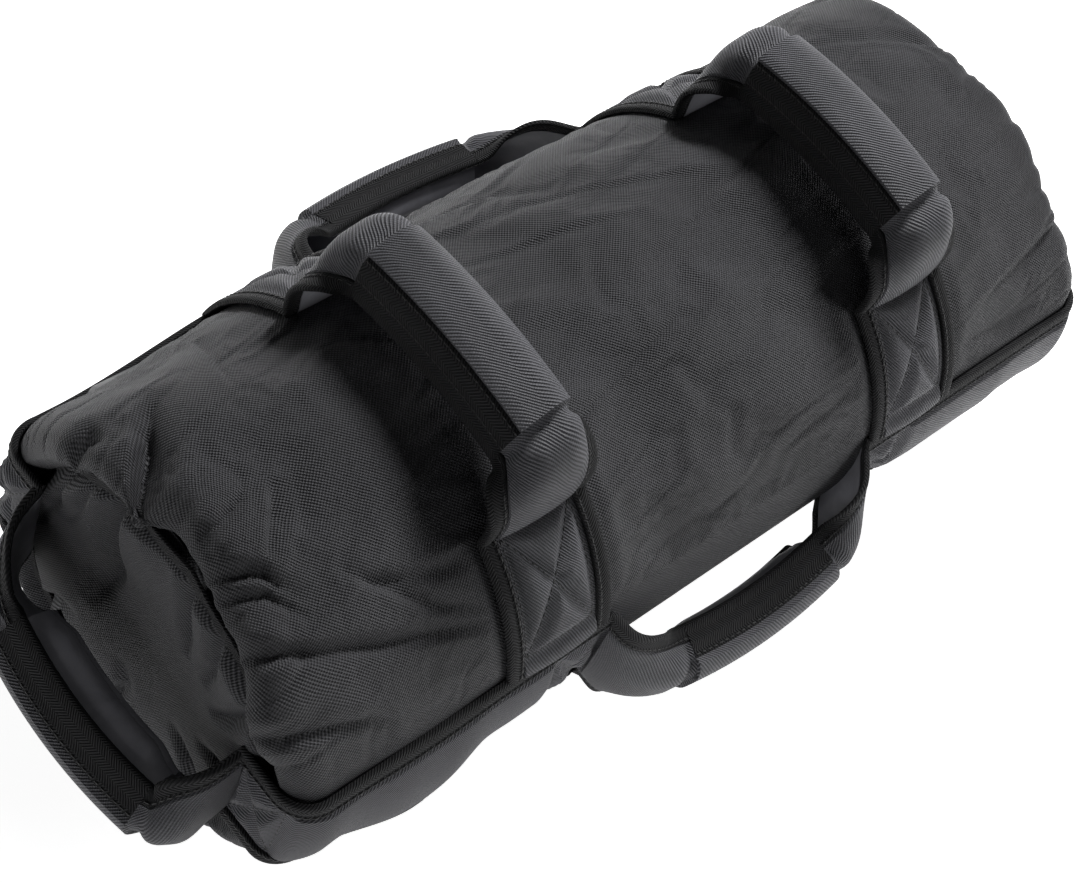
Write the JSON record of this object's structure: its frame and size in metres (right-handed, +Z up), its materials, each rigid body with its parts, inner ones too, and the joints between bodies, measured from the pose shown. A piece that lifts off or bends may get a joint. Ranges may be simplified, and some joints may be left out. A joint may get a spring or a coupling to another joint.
{
  "type": "sandbag trainer",
  "caption": "Cylindrical fabric training bag filled with sand, with padded webbing handles on its top, sides and ends and a zip low on one side",
  "frame": {"origin": "middle of the underside, where the bag rests on the floor", "axes": "+X along the bag, +Y towards the side with the zip, +Z up"},
  "size_m": [0.705, 0.344, 0.2514],
  "materials": {
    "bag_cloth": "matte",
    "strap_webbing": "matte",
    "binding_tape": "matte",
    "grip_foam": "matte",
    "zip_tape": "matte",
    "zip_plastic": "satin",
    "zip_metal": "satin",
    "inner_cloth": "matte",
    "hook_and_loop": "matte",
    "sand": "matte"
  },
  "bodies": {
    "bag": {"body_shell": "bag_cloth", "end_panel_left": "bag_cloth", "end_panel_right": "bag_cloth", "handle_band_left_near": "strap_webbing", "girth_strap_near_left": "strap_webbing", "handle_band_left_far": "strap_webbing", "girth_strap_far_left": "strap_webbing", "handle_band_right_near": "strap_webbing", "girth_strap_near_right": "strap_webbing", "handle_band_right_far": "strap_webbing", "girth_strap_far_right": "strap_webbing", "top_handle_left_flare_near": "strap_webbing", "top_handle_left_flare_far": "strap_webbing", "end_handle_left_flare_near": "strap_webbing", "end_handle_left_flare_far": "strap_webbing", "top_handle_right_flare_near": "strap_webbing", "top_handle_right_flare_far": "strap_webbing", "end_handle_right_flare_near": "strap_webbing", "end_handle_right_flare_far": "strap_webbing", "side_handle_near_flare_left": "strap_webbing", "side_handle_near_flare_right": "strap_webbing", "side_handle_far_flare_left": "strap_webbing", "side_handle_far_flare_right": "strap_webbing", "seam_binding_left": "binding_tape", "seam_binding_right": "binding_tape", "zip_tape_upper": "zip_tape", "zip_tape_lower": "zip_tape", "zip_teeth_upper": "zip_plastic", "zip_teeth_lower": "zip_plastic", "zip_stop_left": "zip_plastic", "zip_stop_right": "zip_plastic", "filler_bag_1": "inner_cloth", "filler_bag_2": "inner_cloth", "filler_bag_3": "inner_cloth", "filler_closure_1": "hook_and_loop", "filler_closure_2": "hook_and_loop", "filler_closure_3": "hook_and_loop", "sand_fill_1": "sand", "sand_fill_2": "sand", "sand_fill_3": "sand"},
    "top_handle_left": {"top_handle_left_cover": "strap_webbing", "top_handle_left_core": "grip_foam"},
    "end_handle_left": {"end_handle_left_cover": "strap_webbing", "end_handle_left_core": "grip_foam"},
    "top_handle_right": {"top_handle_right_cover": "strap_webbing", "top_handle_right_core": "grip_foam"},
    "end_handle_right": {"end_handle_right_cover": "strap_webbing", "end_handle_right_core": "grip_foam"},
    "side_handle_near": {"side_handle_near_cover": "strap_webbing", "side_handle_near_core": "grip_foam"},
    "side_handle_far": {"side_handle_far_cover": "strap_webbing", "side_handle_far_core": "grip_foam"},
    "zip_slider": {"zip_slider": "zip_metal"},
    "zip_pull": {"zip_pull": "zip_metal"}
  },
  "joints": [
    {"name": "top_handle_left_hinge", "type": "hinge", "parent": "bag", "child": "top_handle_left", "pos_m": [-0.136, 0, 0.19099], "axis": [0, 1, 0], "range_deg": [-25, 25], "stiffness_Nm_per_rad": 0.5, "deforming": ["top_handle_left_flare_near", "top_handle_left_flare_far"]},
    {"name": "end_handle_left_hinge", "type": "hinge", "parent": "bag", "child": "end_handle_left", "pos_m": [-0.2963, 0, 0.0986], "axis": [0, 1, 0], "range_deg": [-29, 71], "stiffness_Nm_per_rad": 0.5, "deforming": ["end_handle_left_flare_near", "end_handle_left_flare_far"]},
    {"name": "top_handle_right_hinge", "type": "hinge", "parent": "bag", "child": "top_handle_right", "pos_m": [0.136, 0, 0.19099], "axis": [0, 1, 0], "range_deg": [-25, 25], "stiffness_Nm_per_rad": 0.5, "deforming": ["top_handle_right_flare_near", "top_handle_right_flare_far"]},
    {"name": "end_handle_right_hinge", "type": "hinge", "parent": "bag", "child": "end_handle_right", "pos_m": [0.2963, 0, 0.0986], "axis": [0, 1, 0], "range_deg": [-71, 29], "stiffness_Nm_per_rad": 0.5, "deforming": ["end_handle_right_flare_near", "end_handle_right_flare_far"]},
    {"name": "side_handle_near_hinge", "type": "hinge", "parent": "bag", "child": "side_handle_near", "pos_m": [0, -0.12516, 0.09849], "axis": [1, 0, 0], "range_deg": [-80, 10], "stiffness_Nm_per_rad": 0.5, "deforming": ["side_handle_near_flare_left", "side_handle_near_flare_right"]},
    {"name": "side_handle_far_hinge", "type": "hinge", "parent": "bag", "child": "side_handle_far", "pos_m": [0, 0.12515, 0.09837], "axis": [1, 0, 0], "range_deg": [-30, 60], "stiffness_Nm_per_rad": 0.5, "deforming": ["side_handle_far_flare_left", "side_handle_far_flare_right"]},
    {"name": "zip_slide", "type": "slide", "parent": "bag", "child": "zip_slider", "axis": [1, 0, 0], "range_m": [0, 0.434], "deforming": ["zip_teeth_upper", "zip_teeth_lower"]},
    {"name": "zip_pull_hinge", "type": "hinge", "parent": "zip_slider", "child": "zip_pull", "pos_m": [-0.2171, 0.10237, 0.03746], "axis": [0, 0.6306, 0.7761], "range_deg": [-85, 85]}
  ]
}
